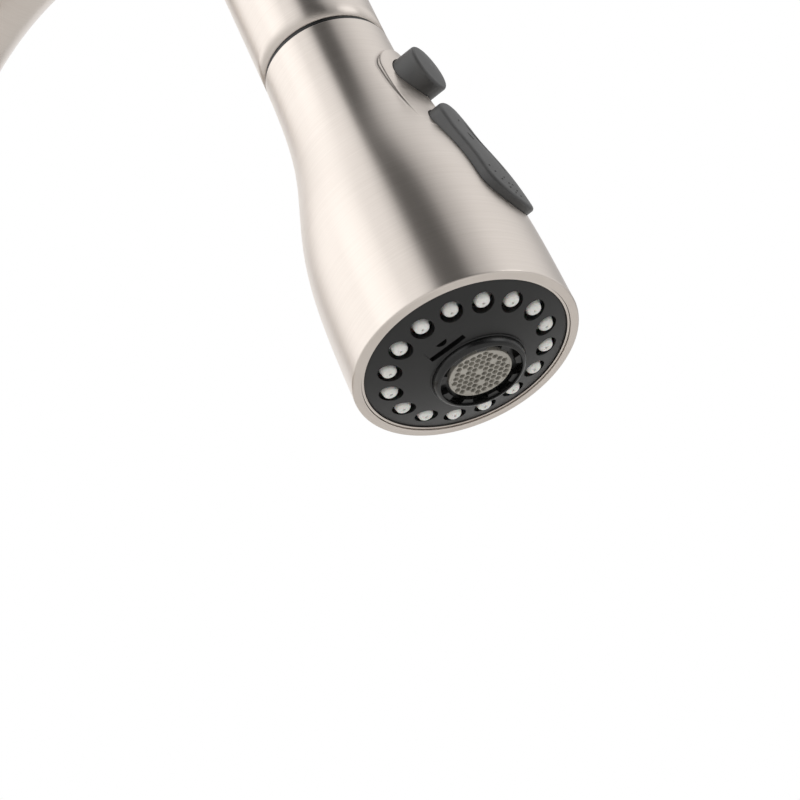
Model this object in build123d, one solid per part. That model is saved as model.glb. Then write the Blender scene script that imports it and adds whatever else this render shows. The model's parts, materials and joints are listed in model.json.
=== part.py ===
from build123d import *
from math import asin, atan, cos, degrees, exp, pi, radians, sin, sqrt
import os

os.makedirs("parts", exist_ok=True)

# A kitchen faucet with a pull-down spray head docked in the end of a high-arc spout.
# Millimetres. +Z is up, +X points from the riser to the spray head, and the lever is on +Y.
# The origin is the middle of the deck hole, on the deck's top face.

# --- overall ---------------------------------------------------------------
riser_top = 290.0          # height at which the spout starts to bend
arch_r = 78.0              # bend radius of the spout's centre line
head_tilt = 26.3           # lean of the spray head's axis from the vertical, degrees
tip_straight = 39.4        # straight tube between the bend and the seam
tube_od = 33.0
tube_wall = 1.5
head_len = 99.5            # spray head from its rim to the seam
head_clock = 7.5           # turn of the head in its dock, degrees from the spout's plane
rim_d = 56.0               # largest diameter, at the rim of the spray head

# --- clearances ------------------------------------------------------------
run_gap = 0.06             # radial, turning and sliding fits
free_gap = 0.30            # between pieces that only pass each other
seam_gap = 0.30            # between the docked head and the spout

# --- spray head ------------------------------------------------------------
shell_wall = 2.2
bell_middle = 0.553        # where the bell's radius is halfway, as a share of head_len
bell_steep = 9.56          # how quickly the bell widens there
rim_ring_wall = 0.55
rim_ring_len = 7.4
face_edge_h = 0.5          # height of the face plate's edge above the rim
face_dome = 4.4            # how far the face plate's middle stands proud of its edge
face_wall = 2.2
nozzle_count = 16
nozzle_ring_r = 19.5
nozzle_phase = 0.0         # degrees from the button's plane to the first nozzle
nozzle_r = 2.15
nozzle_hole_r = 2.78
nozzle_tip_h = -1.6
orifice_r = 0.45
pad_half = 3.6
pad_thick = 1.4
boss_shift = 2.6           # distance of the aerator's axis from the head's axis
boss_turn = 83.0           # its way from there, degrees from the button's plane
boss_r = 11.5
boss_end_h = -5.3
boss_lip = 1.4
boss_round = 1.9           # height of the rounding of the boss's outer edge
seat_h = -3.45             # flat seat for the boss on the domed face plate
seat_edge = 0.4
aerator_r = 8.2
aerator_len = 7.5
tube_thick = 1.1           # wall of the collar's tube behind the face plate
crown_teeth = 9
crown_phase = 25.4
crown_thick = 1.4
crown_drop = 0.5           # the crown's teeth end this far inside the lip
crown_deep = 1.6
crown_floor = 0.6
crown_bite = 3.8           # width of a notch between two teeth
screen_r = 7.75
screen_drop = 0.9          # depth of the honeycomb inside the lip
screen_thick = 1.5
screen_rim = 0.5
cell_pitch = 1.6
cell_wall = 0.36
cell_turn = 18.5
slot_len = 9.7
slot_wide = 3.5
slot_deep = 0.25           # the tab in the slot lies this far below the dome
slit_deep = 1.6
slot_r = 13.4              # distance of the face plate's slot from the head's axis
slot_turn = -88.5
slit_wide = 1.2
thumb_r = 1.5              # half-round notch at the slot's outer edge

core_r = 11.5              # waterway core below the pause valve
core_top_r = 9.0
core_neck_r = 6.6
core_foot_h = 8.0
core_foot_r = 23.9
core_step_h = 62.0
core_shoulder_h = 91.0
core_neck_h = 98.0
inlet_r = 4.5
water_x = -2.5             # the waterway lies off the axis, beside the diverter
water_r = 3.0
spool_x = 7.4
spool_r = 3.3
spool_low_h = 30.4
spool_len = 22.0
spool_bore_top_h = 53.9

button_h = 77.3
button_r = 6.5
button_face_x = 23.8
button_dome = 0.5
button_edge = 0.9
button_foot_x = 15.6
pause_stem_r = 1.6
pause_bore_r = 3.2
pause_bore_end_x = -4.6    # past the waterway's far wall
pause_boss_r = 5.2
pause_boss_x = 12.0
spring_seat_x = 8.3
land_proud = 0.9
land_r = 8.8
land_h = 78.8

rocker_top_h = 63.8
rocker_low_h = 24.6
rocker_top_r = 6.8
rocker_low_r = 8.7
rocker_proud_top = 4.0
rocker_proud_low = 2.2
rocker_rise_at = 0.8       # where the rocker starts to stand prouder, as a share of its length
rocker_rise_steep = 12.0
rocker_depth = 2.6         # how far the rocker reaches below the bell's surface
pivot_h = 46.5
pivot_x = 19.6
pivot_r = 1.25
ear_r = 1.8
lug_half = 4.0
ear_thick = 1.8
finger_r = 0.8
finger_ball_r = 0.9

check_seat_h = 70.4
check_r = 5.4
poppet_r = 4.3
check_len = 14.2           # depth of the check valve's chamber below its seat

# --- hose and dock ---------------------------------------------------------
hose_od = 11.5
hose_bore = 8.9
spigot_r = 12.4
spigot_len = 12.5
sleeve_r_in = 12.75
sleeve_len = 15.0
magnet_len = 5.0
hose_draw_len = 18.0       # straight hose between the ferrule and the hose that stays inside
ferrule_r = 7.2
ferrule_len = 14.0
hose_low_z = -76.0
tail_sleeve_r = 6.9
tail_r = 5.0
tail_len = 20.0

# --- body and deck fixing --------------------------------------------------
flange_r = 29.0
flange_low_z = 1.2
body_low_z = 6.0
body_r = 25.0
body_shoulder_z = 80.0
body_top_z = 112.0
body_top_r = 20.8
body_edge = 0.8
socket_top_z = 20.0        # the shank is screwed in this far
shank_r = 17.0
shank_bore_r = 15.5
shank_low_z = -70.0
pilot_r = 16.5
pilot_len = 9.5
deck_max = 38.0            # thickest deck the fixing takes
washer_r = 27.0
nut_r = 26.0
nut_len = 12.0
port_ring_r = 11.3
port_r = 4.0
port_len = 12.0
drill_r = 2.8
hose_way_r = 6.5
swivel_bore_r = 18.0
swivel_floor_z = 78.0
foot_flange_len = 6.0
foot_sleeve_len = 22.0     # how far the spout's brass foot reaches up inside the tube
spout_seal_len = 2.7

# --- valve and lever -------------------------------------------------------
valve_z = 52.0
housing_r = 21.5
cavity_r = 17.5
seat_y = 22.0
housing_end_y = 44.0
valve_pivot_y = 46.0
disc_thick = 3.4
base_thick = 5.0
ball_drop = 12.0           # from the stem's pivot to its ball end
stem_half = 3.5
neck_r = 9.5
dome_r = 17.0
dome_wall = 2.0
dome_hole_r = 10.3
hub_wall = 3.0
hub_top_y = 72.0
lever_len = 66.0
lever_base_r = 5.6
lever_tip_r = 4.4
lever_lean = 8.0           # degrees outwards


def turned(*outline):
    """A solid turned about Z from (radius, height) corners."""
    return revolve(make_face(Polyline(*[(r, 0, z) for r, z in outline], close=True)), Axis.Z)


def ring(r_out, r_in, low, high):
    return turned((r_in, low), (r_out, low), (r_out, high), (r_in, high))


def rod(r, low, high):
    """A round bar along Z."""
    return Pos(0, 0, low) * Cylinder(r, high - low, align=(Align.CENTER, Align.CENTER, Align.MIN))


def rod_x(r, low, high, h, y=0.0):
    """A round bar along X at height h."""
    return Pos(low, y, h) * Rot(0, 90, 0) * Cylinder(
        r, high - low, align=(Align.CENTER, Align.CENTER, Align.MIN))


def rod_y(r, low, high, x, h):
    """A round bar along Y."""
    return Pos(x, low, h) * Rot(-90, 0, 0) * Cylinder(
        r, high - low, align=(Align.CENTER, Align.CENTER, Align.MIN))


def block(x0, x1, y0, y1, z0, z1):
    return Pos((x0 + x1) / 2, (y0 + y1) / 2, (z0 + z1) / 2) * Box(x1 - x0, y1 - y0, z1 - z0)


def at_ring(count, radius, phase, shape):
    """Copies of a shape, evenly round a circle."""
    turns = [phase + i * 360.0 / count for i in range(count)]
    return [Rot(0, 0, a) * Pos(radius, 0, 0) * shape for a in turns]


# --- frames ----------------------------------------------------------------
arch_turn = 180.0 - head_tilt


def arch_point(angle):
    a = radians(angle)
    return Vector(arch_r * (1 - cos(a)), 0, riser_top + arch_r * sin(a))


arch_end = arch_point(arch_turn)
draw_way = Vector(sin(radians(arch_turn)), 0, cos(radians(arch_turn)))
seam = arch_end + draw_way * tip_straight
rim = seam + draw_way * head_len
out_way = Vector(cos(radians(head_tilt)), 0, sin(radians(head_tilt)))
clock = radians(head_clock)
button_way = out_way * cos(clock) + Vector(0, 1, 0) * sin(clock)

# The head's frame: origin in the middle of the rim, X towards the button, Z up to the seam.
head_frame = Plane(origin=rim, x_dir=button_way, z_dir=-draw_way)
# The dock's frame: the same axes, with its origin at the seam.
dock_frame = Plane(origin=seam, x_dir=button_way, z_dir=-draw_way)
# The valve's frame: X up, Y forward and Z outwards along the valve's axis.
valve_frame = Plane(origin=(0, 0, valve_z), x_dir=(0, 0, 1), z_dir=(0, 1, 0))

neck_r_head = tube_od / 2 - 0.15
bore_r = tube_od / 2 - tube_wall


def bell_r(h):
    """Outer radius of the spray head at height h."""
    share = 1 / (1 + exp(bell_steep * (h / head_len - bell_middle)))
    return neck_r_head + (rim_d / 2 - neck_r_head) * share


def bell_line(offset, low, high, count=14):
    """The bell's outline between two heights, moved out by offset."""
    heights = [low + (high - low) * i / (count - 1) for i in range(count)]
    return Spline(*[(bell_r(h) + offset, 0, h) for h in heights])


def bell_solid(outer, low, high):
    """Everything inside the bell's surface moved out by outer, between two heights."""
    wall = bell_line(outer, low, high)
    ends = Polyline(wall @ 1, (0, 0, high), (0, 0, low), wall @ 0)
    return revolve(make_face([wall, ends]), Axis.Z)


# --- spray head ------------------------------------------------------------
rim_ring_low = 0.3
rim_ring_r = bell_r(rim_ring_low + rim_ring_len) - shell_wall - 0.05
face_r = rim_ring_r - rim_ring_wall - 0.08
collar_low = head_len - 1.0 + 0.2
spool_groove = 2 * finger_ball_r + 0.3


def rocker_plan(grow):
    """The rocker's outline seen along X: two round ends and straight sides, grown by grow."""
    top_r = rocker_top_r + grow
    low_r = rocker_low_r + grow
    top_mid = rocker_top_h - rocker_top_r
    low_mid = rocker_low_h + rocker_low_r
    slant = asin((low_r - top_r) / (top_mid - low_mid))
    sides = [(low_r * cos(slant), low_mid + low_r * sin(slant)),
             (top_r * cos(slant), top_mid + top_r * sin(slant))]
    corners = sides + [(-y, h) for y, h in reversed(sides)]
    plan = make_face(Polyline(*corners, close=True))
    plan += Pos(0, top_mid) * Circle(top_r)
    plan += Pos(0, low_mid) * Circle(low_r)
    return Plane.YZ * plan


def proud_at(h):
    """How far the rocker stands out of the bell at height h."""
    share = (h - rocker_low_h) / (rocker_top_h - rocker_low_h)
    rise = 1 / (1 + exp(rocker_rise_steep * (rocker_rise_at - share)))
    return rocker_proud_low + (rocker_proud_top - rocker_proud_low) * rise


def rocker_skin(count=12):
    """The solid under the rocker's outer face."""
    low = rocker_low_h - 1
    high = rocker_top_h + 1
    heights = [low + (high - low) * i / (count - 1) for i in range(count)]
    outer = Spline(*[(bell_r(h) + proud_at(h), 0, h) for h in heights])
    inner = Spline(*[(bell_r(h) - rocker_depth, 0, h) for h in reversed(heights)])
    ends = [Line(outer @ 1, inner @ 0), Line(inner @ 1, outer @ 0)]
    half_round = Rot(0, 0, -90) * revolve(make_face([outer, inner] + ends), Axis.Z, 180)
    return half_round


def head_shell():
    body = bell_solid(0, 0, head_len - 1.0)
    body -= bell_solid(-shell_wall, -1, head_len)
    land_low = rocker_top_h - land_r
    land = Pos(0, (land_low + land_h) / 2) * Rectangle(2 * land_r, land_h - land_low)
    land += Pos(0, land_h) * Circle(land_r)
    pad = bell_solid(land_proud, rocker_top_h - 2 * land_r, head_len - 1.5)
    pad &= extrude(Plane.YZ * land, rim_d / 2)
    pad -= bell_solid(-shell_wall / 2, 0, head_len)
    body += pad
    body -= extrude(rocker_plan(free_gap), rim_d)
    body -= rod_x(button_r + 0.25, 0, rim_d, button_h)
    return body


def rim_ring():
    return ring(rim_ring_r, rim_ring_r - rim_ring_wall, rim_ring_low, rim_ring_low + rim_ring_len)


def face_height(r):
    """Height of the face plate's outer surface at radius r, a shallow dome."""
    return face_edge_h - face_dome * (1 - (r / face_r) ** 2)


def at_boss(shape):
    """A shape about the head's axis, moved to the aerator's axis."""
    return Rot(0, 0, boss_turn) * Pos(boss_shift, 0, 0) * Rot(0, 0, -boss_turn) * shape


def face_plate():
    mid_r = face_r * 0.6
    outside = ThreePointArc(
        (face_r, 0, face_edge_h), (mid_r, 0, face_height(mid_r)), (0, 0, face_height(0)))
    inside_r = face_r - 1.2
    inside = ThreePointArc(
        (0, 0, face_height(0) + face_wall),
        (mid_r, 0, face_height(mid_r) + face_wall),
        (inside_r, 0, face_height(inside_r) + face_wall))
    skirt = Polyline(
        inside @ 1, (inside_r, 0, core_foot_h - 1.0), (face_r, 0, core_foot_h - 1.0), outside @ 0)
    plate = revolve(make_face([outside, Line(outside @ 1, inside @ 0), inside, skirt]), Axis.Z)
    for hole in at_ring(nozzle_count, nozzle_ring_r, nozzle_phase, rod(nozzle_hole_r, -6, 6)):
        plate -= hole
    low = boss_end_h
    plate += at_boss(rod(boss_r + seat_edge, seat_h, seat_h + face_wall))
    plate -= at_boss(rod(boss_r + seat_edge, low, seat_h))
    plate -= at_boss(rod(boss_r + run_gap, low, face_wall))
    pocket = block(-slot_wide, 0, -slot_len / 2, slot_len / 2, -face_dome, slot_deep)
    pocket += block(-slot_wide, slit_wide - slot_wide, -slot_len / 2, slot_len / 2, -face_dome, slit_deep)
    half_moon = rod(thumb_r, -face_dome, slit_deep)
    half_moon &= block(-thumb_r, 0, -thumb_r, thumb_r, -face_dome, slit_deep)
    pocket += half_moon
    tilt = degrees(atan(2 * face_dome * (slot_r - slot_wide / 2) / face_r ** 2))
    return plate - Rot(0, 0, slot_turn) * Pos(slot_r, 0, face_height(slot_r)) * Rot(0, -tilt, 0) * pocket


pad_low = face_height(nozzle_ring_r + pad_half) + face_wall + 0.3


def nozzle_pad():
    """Soft ring with one nipple behind every hole of the face plate."""
    pad = ring(nozzle_ring_r + pad_half, nozzle_ring_r - pad_half, pad_low, pad_low + pad_thick)
    tip = nozzle_tip_h
    nipple = turned(
        (0, pad_low), (nozzle_r, pad_low), (nozzle_r, tip + 2.8), (nozzle_r * 0.88, tip + 1.1),
        (nozzle_r * 0.7, tip + 0.35), (nozzle_r * 0.4, tip), (orifice_r, tip), (orifice_r, tip + 1.0),
        (0, tip + 1.0))
    for one in at_ring(nozzle_count, nozzle_ring_r, nozzle_phase, nipple):
        pad += one
    return pad


def spray_plate():
    low = pad_low + pad_thick + 0.1
    inner_r = boss_shift + aerator_r + tube_thick + free_gap
    plate = ring(core_foot_r - 1.0, inner_r, low, core_foot_h)
    for hole in at_ring(nozzle_count, nozzle_ring_r, nozzle_phase, rod(0.8, 0, core_foot_h + 1)):
        plate -= hole
    return plate


collar_top_h = core_foot_h - 1.6
screen_low = boss_end_h + screen_drop
insert_low = screen_low + screen_thick
crown_r = boss_r - boss_lip - 0.1
crown_low = boss_end_h + crown_drop
flange_top = crown_low + crown_deep + crown_floor


def aerator_collar():
    """Boss round the aerator, with its tube through the face plate."""
    floor = flange_top + run_gap
    step_h = floor + tube_thick
    inner_r = boss_r - boss_lip
    tube_r = aerator_r + 0.1
    wall_r = aerator_r + tube_thick
    flat = boss_lip / 10
    turns = [radians(a) for a in (90, 67.5, 45, 22.5, 0)]
    rounded = [(inner_r + flat + (boss_lip - flat) * cos(a), boss_end_h + boss_round * (1 - sin(a)))
               for a in turns]
    collar = turned(
        (inner_r, boss_end_h), *rounded, (boss_r, step_h), (wall_r, step_h), (wall_r, collar_top_h),
        (tube_r, collar_top_h), (tube_r, floor), (inner_r, floor))
    return at_boss(collar)


def aerator_screen():
    """Honeycomb outlet of the aerator."""
    disc = Circle(screen_r)
    cell = RegularPolygon((cell_pitch - cell_wall) / sqrt(3), 6, rotation=30)
    reach = int(screen_r / cell_pitch) + 2
    free_r = screen_r - screen_rim - (cell_pitch - cell_wall) / 2
    places = []
    for i in range(-reach, reach + 1):
        for j in range(-reach, reach + 1):
            x = cell_pitch * (i + j / 2)
            y = cell_pitch * j * sqrt(3) / 2
            if sqrt(x * x + y * y) < free_r:
                places.append((x, y))
    disc -= [Pos(x, y) * cell for x, y in places]
    return at_boss(Rot(0, 0, cell_turn) * Pos(0, 0, screen_low) * extrude(disc, screen_thick))


def aerator_cartridge():
    """Insert behind the honeycomb, with the notched crown that its key turns."""
    high = insert_low + aerator_len
    barrel_r = aerator_r - 0.05
    floor = crown_low + crown_deep
    cup_r = screen_r + 0.1
    body = turned(
        (aerator_r - 1.3, insert_low), (cup_r, insert_low), (cup_r, floor), (crown_r, floor),
        (crown_r, flange_top), (barrel_r, flange_top), (barrel_r, high), (2.0, high),
        (2.0, high - 1.5), (aerator_r - 1.3, high - 3.5))
    crown = ring(crown_r, crown_r - crown_thick, crown_low, floor + crown_floor / 2)
    bite = block(
        crown_r - crown_thick - 1, crown_r + 1, -crown_bite / 2, crown_bite / 2, crown_low - 1, floor)
    for notch in at_ring(crown_teeth, 0, crown_phase + 180.0 / crown_teeth, bite):
        crown -= notch
    return at_boss(body + crown)


def aerator_washer():
    low = insert_low + aerator_len
    return at_boss(ring(aerator_r - 0.05, 4.0, low, low + 1.5))


def valve_body():
    """Waterway core: inlet, pause valve, check valve and diverter in one moulding."""
    body = turned(
        (0, core_foot_h), (core_foot_r, core_foot_h), (core_foot_r, core_foot_h + 4),
        (core_r, core_foot_h + 8), (core_r, core_step_h), (core_top_r, core_step_h + 2.5),
        (core_top_r, core_shoulder_h), (core_neck_r, core_shoulder_h), (core_neck_r, core_neck_h),
        (0, core_neck_h))
    body += rod_x(pause_boss_r, 0, pause_boss_x, button_h)
    for side in (-1, 1):
        inner = side * (lug_half + 0.2)
        outer = side * (lug_half + 0.2 + ear_thick)
        low, high = min(inner, outer), max(inner, outer)
        ear = block(core_r - 4.5, pivot_x, low, high, pivot_h - ear_r, pivot_h + ear_r)
        body += ear + rod_y(ear_r, low, high, pivot_x, pivot_h)
    body -= rod_y(pivot_r, -20, 20, pivot_x, pivot_h)
    body -= rod(inlet_r, button_h + 4, core_neck_h + 1)
    body -= rod(check_r, check_seat_h - check_len, check_seat_h + 2)
    body -= rod(3.0, check_seat_h, button_h + 5)
    body -= Pos(water_x, 0, 0) * rod(water_r, core_foot_h - 1, check_seat_h - check_len + 1)
    body -= Pos(spool_x, 0, 0) * rod(spool_r + run_gap, core_foot_h - 1, spool_bore_top_h)
    body -= block(spool_x, core_r + 1, -1.3, 1.3, pivot_h - 3.2, pivot_h + 2.2)
    stepped = rod_x(pause_bore_r, pause_bore_end_x, pause_boss_x + 1, button_h)
    stepped += rod_x(pause_bore_r + 1.2, spring_seat_x, pause_boss_x + 1, button_h)
    body -= stepped
    return body


def diverter_spool():
    high = spool_low_h + spool_len
    waist = spool_r - 1.4
    groove_low = pivot_h - spool_groove / 2
    groove_high = pivot_h + spool_groove / 2
    seal = spool_r - 0.9
    spool = turned(
        (0, spool_low_h), (spool_r, spool_low_h), (spool_r, spool_low_h + 2), (seal, spool_low_h + 2),
        (seal, spool_low_h + 3.5), (spool_r, spool_low_h + 3.5), (spool_r, groove_low),
        (waist, groove_low), (waist, groove_high), (spool_r, groove_high), (spool_r, high - 3.5),
        (seal, high - 3.5), (seal, high - 2), (spool_r, high - 2), (spool_r, high), (0, high))
    return Pos(spool_x, 0, 0) * spool


def spool_seals():
    high = spool_low_h + spool_len
    seal = spool_r - 0.9
    low_ring = ring(spool_r - 0.02, seal, spool_low_h + 2.05, spool_low_h + 3.45)
    high_ring = ring(spool_r - 0.02, seal, high - 3.45, high - 2.05)
    return Compound([Pos(spool_x, 0, 0) * low_ring, Pos(spool_x, 0, 0) * high_ring])


def rocker():
    body = rocker_skin() & extrude(rocker_plan(0), rim_d)
    floor = bell_r(pivot_h) - rocker_depth
    body -= block(0, floor + 0.8, -lug_half - ear_thick - 0.8, lug_half + ear_thick + 0.8,
                  pivot_h - ear_r - 1.2, pivot_h + ear_r + 1.2)
    lug = block(pivot_x, floor + 1.2, -lug_half, lug_half, pivot_h - ear_r, pivot_h + ear_r)
    lug += rod_y(ear_r, -lug_half, lug_half, pivot_x, pivot_h)
    body += lug
    reach = spool_x + spool_r - 0.2 + finger_ball_r - 0.25
    body += rod_x(finger_r, reach, pivot_x, pivot_h)
    body += Pos(reach, 0, pivot_h) * Sphere(finger_ball_r)
    body -= rod_y(pivot_r + run_gap, -20, 20, pivot_x, pivot_h)
    return body


def rocker_pin():
    reach = lug_half + 0.2 + ear_thick
    return rod_y(pivot_r, -reach, reach, pivot_x, pivot_h)


def pause_button():
    flat_r = button_r - button_edge
    rim_x = button_face_x - button_edge
    round_off = button_edge * sqrt(0.5)
    dome_r_cap = (flat_r ** 2 + button_dome ** 2) / (2 * button_dome)
    half_way = button_face_x + button_dome - dome_r_cap + sqrt(dome_r_cap ** 2 - flat_r ** 2 / 4)
    outline = [
        Line((0, 0, button_foot_x), (button_r, 0, button_foot_x)),
        Line((button_r, 0, button_foot_x), (button_r, 0, rim_x)),
        ThreePointArc((button_r, 0, rim_x), (flat_r + round_off, 0, rim_x + round_off),
                      (flat_r, 0, button_face_x)),
        ThreePointArc((flat_r, 0, button_face_x), (flat_r / 2, 0, half_way),
                      (0, 0, button_face_x + button_dome)),
        Line((0, 0, button_face_x + button_dome), (0, 0, button_foot_x)),
    ]
    cap = revolve(make_face(outline), Axis.Z)
    return Pos(0, 0, button_h) * Rot(0, 90, 0) * cap


def pause_stem():
    stem = rod_x(pause_stem_r, 3.0, button_foot_x, button_h)
    stem += rod_x(pause_bore_r - run_gap, 1.5, 4.0, button_h)
    stem += rod_x(pause_bore_r - run_gap, 6.0, 7.5, button_h)
    return stem


def pause_seal():
    return rod_x(pause_bore_r - 0.04, 4.05, 5.95, button_h) - rod_x(pause_stem_r, 4, 6, button_h)


def button_spring():
    low = spring_seat_x + 0.1
    sleeve = rod_x(pause_bore_r + 0.6, low, button_foot_x, button_h)
    return sleeve - rod_x(pause_bore_r - 0.6, low - 1, button_foot_x + 1, button_h)


def check_seat():
    return ring(check_r - 0.02, 3.0, check_seat_h, check_seat_h + 1.98)


def check_poppet():
    top = check_seat_h - 0.05
    return turned((0, top), (poppet_r, top), (poppet_r, top - 1.5), (1.2, top - 3.0),
                  (1.2, check_seat_h - 11.5), (0, check_seat_h - 11.5))


def check_guide():
    guide = ring(check_r - 0.02, 1.3, check_seat_h - 12, check_seat_h - 10)
    for hole in at_ring(6, 3.3, 0, rod(1.1, check_seat_h - 13, check_seat_h - 9)):
        guide -= hole
    return guide


def check_spring():
    return ring(2.6, 2.0, check_seat_h - 10, check_seat_h - 2.75)


# --- dock and hose ---------------------------------------------------------
# Heights here are from the rim, in the head's frame.
def dock_collar():
    """Plastic collar that shows as the dark seam, with the spigot that docks in the spout."""
    seam_h = head_len
    return turned(
        (core_top_r + 0.15, core_shoulder_h - 2), (bell_r(seam_h) - shell_wall - 0.2, core_shoulder_h - 2),
        (bell_r(seam_h) - shell_wall - 0.2, collar_low), (tube_od / 2 - 0.35, collar_low),
        (tube_od / 2 - 0.35, seam_h), (spigot_r, seam_h), (spigot_r - 0.6, seam_h + spigot_len),
        (core_top_r + 0.15, seam_h + spigot_len))


def keeper_ring():
    low = head_len + spigot_len
    return ring(spigot_r - 0.7, core_top_r + 0.15, low, low + 2.0)


nut_low_h = core_shoulder_h + 0.3
nipple_flange_low = core_neck_h + 0.2
nipple_flange_high = nipple_flange_low + 2.0
nut_top_h = nipple_flange_high + 2.2
ferrule_low = nut_top_h + 0.4
draw_low = ferrule_low + 2.0
draw_high = draw_low + hose_draw_len


def hose_nut():
    """Nut that holds the hose's swivel on the head's inlet."""
    seat = nipple_flange_high + run_gap
    bore = core_neck_r + 0.02
    return turned(
        (bore, nut_low_h), (core_top_r - 0.6, nut_low_h), (core_top_r - 0.6, nut_top_h),
        (inlet_r + 0.1, nut_top_h), (inlet_r + 0.1, seat), (bore, seat))


def hose_nipple():
    low = core_neck_h - 8
    flange = core_neck_r - run_gap
    stem = inlet_r - run_gap
    return turned(
        (3.0, low), (stem, low), (stem, nipple_flange_low), (flange, nipple_flange_low),
        (flange, nipple_flange_high), (stem, nipple_flange_high), (stem, ferrule_low + ferrule_len - 1),
        (3.0, ferrule_low + ferrule_len - 1))


def hose_ferrule():
    high = ferrule_low + ferrule_len
    sleeve = hose_od / 2 + 0.02
    return turned(
        (inlet_r, ferrule_low), (ferrule_r - 0.6, ferrule_low), (ferrule_r, ferrule_low + 0.6),
        (ferrule_r, high), (sleeve, high), (sleeve, draw_low), (inlet_r, draw_low))


def hose_draw():
    return ring(hose_od / 2, hose_bore / 2 + 0.02, draw_low, draw_high)


def spout_route(low_z, tip_h):
    """The spout's centre line from low_z up, over the bend, and down to tip_h above the seam."""
    end = seam - draw_way * tip_h
    riser = Line((0, 0, low_z), (0, 0, riser_top))
    bend = ThreePointArc(arch_point(0), arch_point(arch_turn / 2), arch_point(arch_turn))
    return Wire([riser, bend, Line(arch_end, end)])


def spray_hose():
    """The hose inside the spout, from the dock down through the body and the shank."""
    path = spout_route(hose_low_z, draw_high - head_len)
    section = Plane(origin=(0, 0, hose_low_z), z_dir=(0, 0, 1)) * (
        Circle(hose_od / 2) - Circle(hose_bore / 2))
    hose = sweep(section, path=path)
    area = pi * (hose_od ** 2 - hose_bore ** 2) / 4
    print("hose length %.1f, volume over section x length %.4f, bend radius %.1f" % (
        path.length, hose.volume / (area * path.length), arch_r))
    return hose


def hose_tail():
    """Plug-in end of the hose below the shank."""
    top = hose_low_z + 4
    low = hose_low_z - 8
    sleeve = hose_od / 2 + 0.02
    return turned(
        (3.2, low - tail_len), (tail_r - 0.5, low - tail_len), (tail_r, low - tail_len + 0.5),
        (tail_r, low), (tail_sleeve_r, low), (tail_sleeve_r, top), (sleeve, top),
        (sleeve, hose_low_z), (3.2, hose_low_z))


# --- spout -----------------------------------------------------------------
spout_low_z = swivel_floor_z + 0.7 + foot_flange_len
seal_low_z = spout_low_z + free_gap
bush_low_z = seal_low_z + spout_seal_len + free_gap
collar_gap = 0.6
spout_collar_len = 13.0


def spout_tube():
    path = spout_route(spout_low_z, seam_gap)
    section = Plane(origin=(0, 0, spout_low_z), z_dir=(0, 0, 1)) * (Circle(tube_od / 2) - Circle(bore_r))
    return sweep(section, path=path)


def spout_collar():
    low = body_top_z + collar_gap
    high = low + spout_collar_len
    inner = tube_od / 2 + 0.02
    return turned((inner, low), (body_top_r, low), (body_top_r, low + 2), (inner + 0.9, high - 0.8),
                  (inner + 0.5, high), (inner, high))


def spout_foot():
    """Brass sleeve in the lower end of the spout, with the flange that keeps it in the body."""
    low = spout_low_z - foot_flange_len
    return turned(
        (hose_way_r + 1.5, low), (swivel_bore_r - 0.4, low), (swivel_bore_r - 0.4, spout_low_z),
        (bore_r - 0.02, spout_low_z), (bore_r - 0.02, spout_low_z + foot_sleeve_len),
        (hose_way_r + 1.5, spout_low_z + foot_sleeve_len))


def dock_sleeve():
    """Plastic socket in the end of the spout. Heights are from the seam."""
    low = 1.2
    return turned(
        (sleeve_r_in + 0.8, low), (bore_r - 0.02, low), (bore_r - 0.02, low + sleeve_len),
        (sleeve_r_in, low + sleeve_len), (sleeve_r_in, low + 1.5))


def dock_magnet():
    low = 1.2 + sleeve_len
    return ring(bore_r - 0.02, ferrule_r + 1.6, low, low + magnet_len)


# --- body and deck fixing --------------------------------------------------
def port_places():
    """Middles of the hot, mixed and cold ports, seen from above."""
    angles = {"hot": 150.0, "mixed": 90.0, "cold": 30.0}
    return {k: (port_ring_r * cos(radians(a)), port_ring_r * sin(radians(a))) for k, a in angles.items()}


port_rise = {"hot": valve_z - 4.0, "mixed": valve_z + 8.0, "cold": valve_z - 4.0}


def body_casting():
    edge = body_top_z - body_edge
    shoulder = Spline((body_r, 0, body_shoulder_z), (body_r - 1.9, 0, body_shoulder_z + 18),
                      (body_top_r, 0, edge), tangents=[(0, 0, 1), (0, 0, 1)])
    rest = Polyline((body_top_r, 0, edge), (body_top_r - body_edge, 0, body_top_z), (0, 0, body_top_z),
                    (0, 0, body_low_z),
                    (body_r, 0, body_low_z), (body_r, 0, body_shoulder_z))
    body = revolve(make_face([shoulder, rest]), Axis.Z)
    body += valve_frame * rod(housing_r, 0, housing_end_y)
    body -= valve_frame * rod(cavity_r, seat_y, housing_end_y + 1)
    body -= rod(swivel_bore_r, swivel_floor_z, body_top_z + 1)
    body -= rod(hose_way_r, 0, body_top_z)
    body -= rod(shank_r, 0, socket_top_z)
    for name, (x, y) in port_places().items():
        rise = port_rise[name]
        body -= Pos(x, y, 0) * rod(port_r, socket_top_z - 1, socket_top_z + port_len)
        body -= Pos(x, y, 0) * rod(drill_r, socket_top_z, rise)
        body -= rod_y(drill_r, y, seat_y + 1, x, rise)
    return body


def base_flange():
    return turned(
        (shank_r + 0.3, flange_low_z), (flange_r, flange_low_z), (flange_r, body_low_z - 2.2),
        (flange_r - 2.0, body_low_z), (shank_r + 0.3, body_low_z))


def shank():
    """Threaded shank with a plain pilot at its lower end."""
    return turned(
        (shank_bore_r, shank_low_z), (pilot_r, shank_low_z), (pilot_r, shank_low_z + pilot_len),
        (shank_r, shank_low_z + pilot_len), (shank_r, socket_top_z), (shank_bore_r, socket_top_z))


washer_top = -deck_max
steel_top = washer_top - 3.0
nut_top = steel_top - 2.0
nut_low = nut_top - nut_len
screw_ring_r = 22.0
screw_r = 2.5


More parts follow.
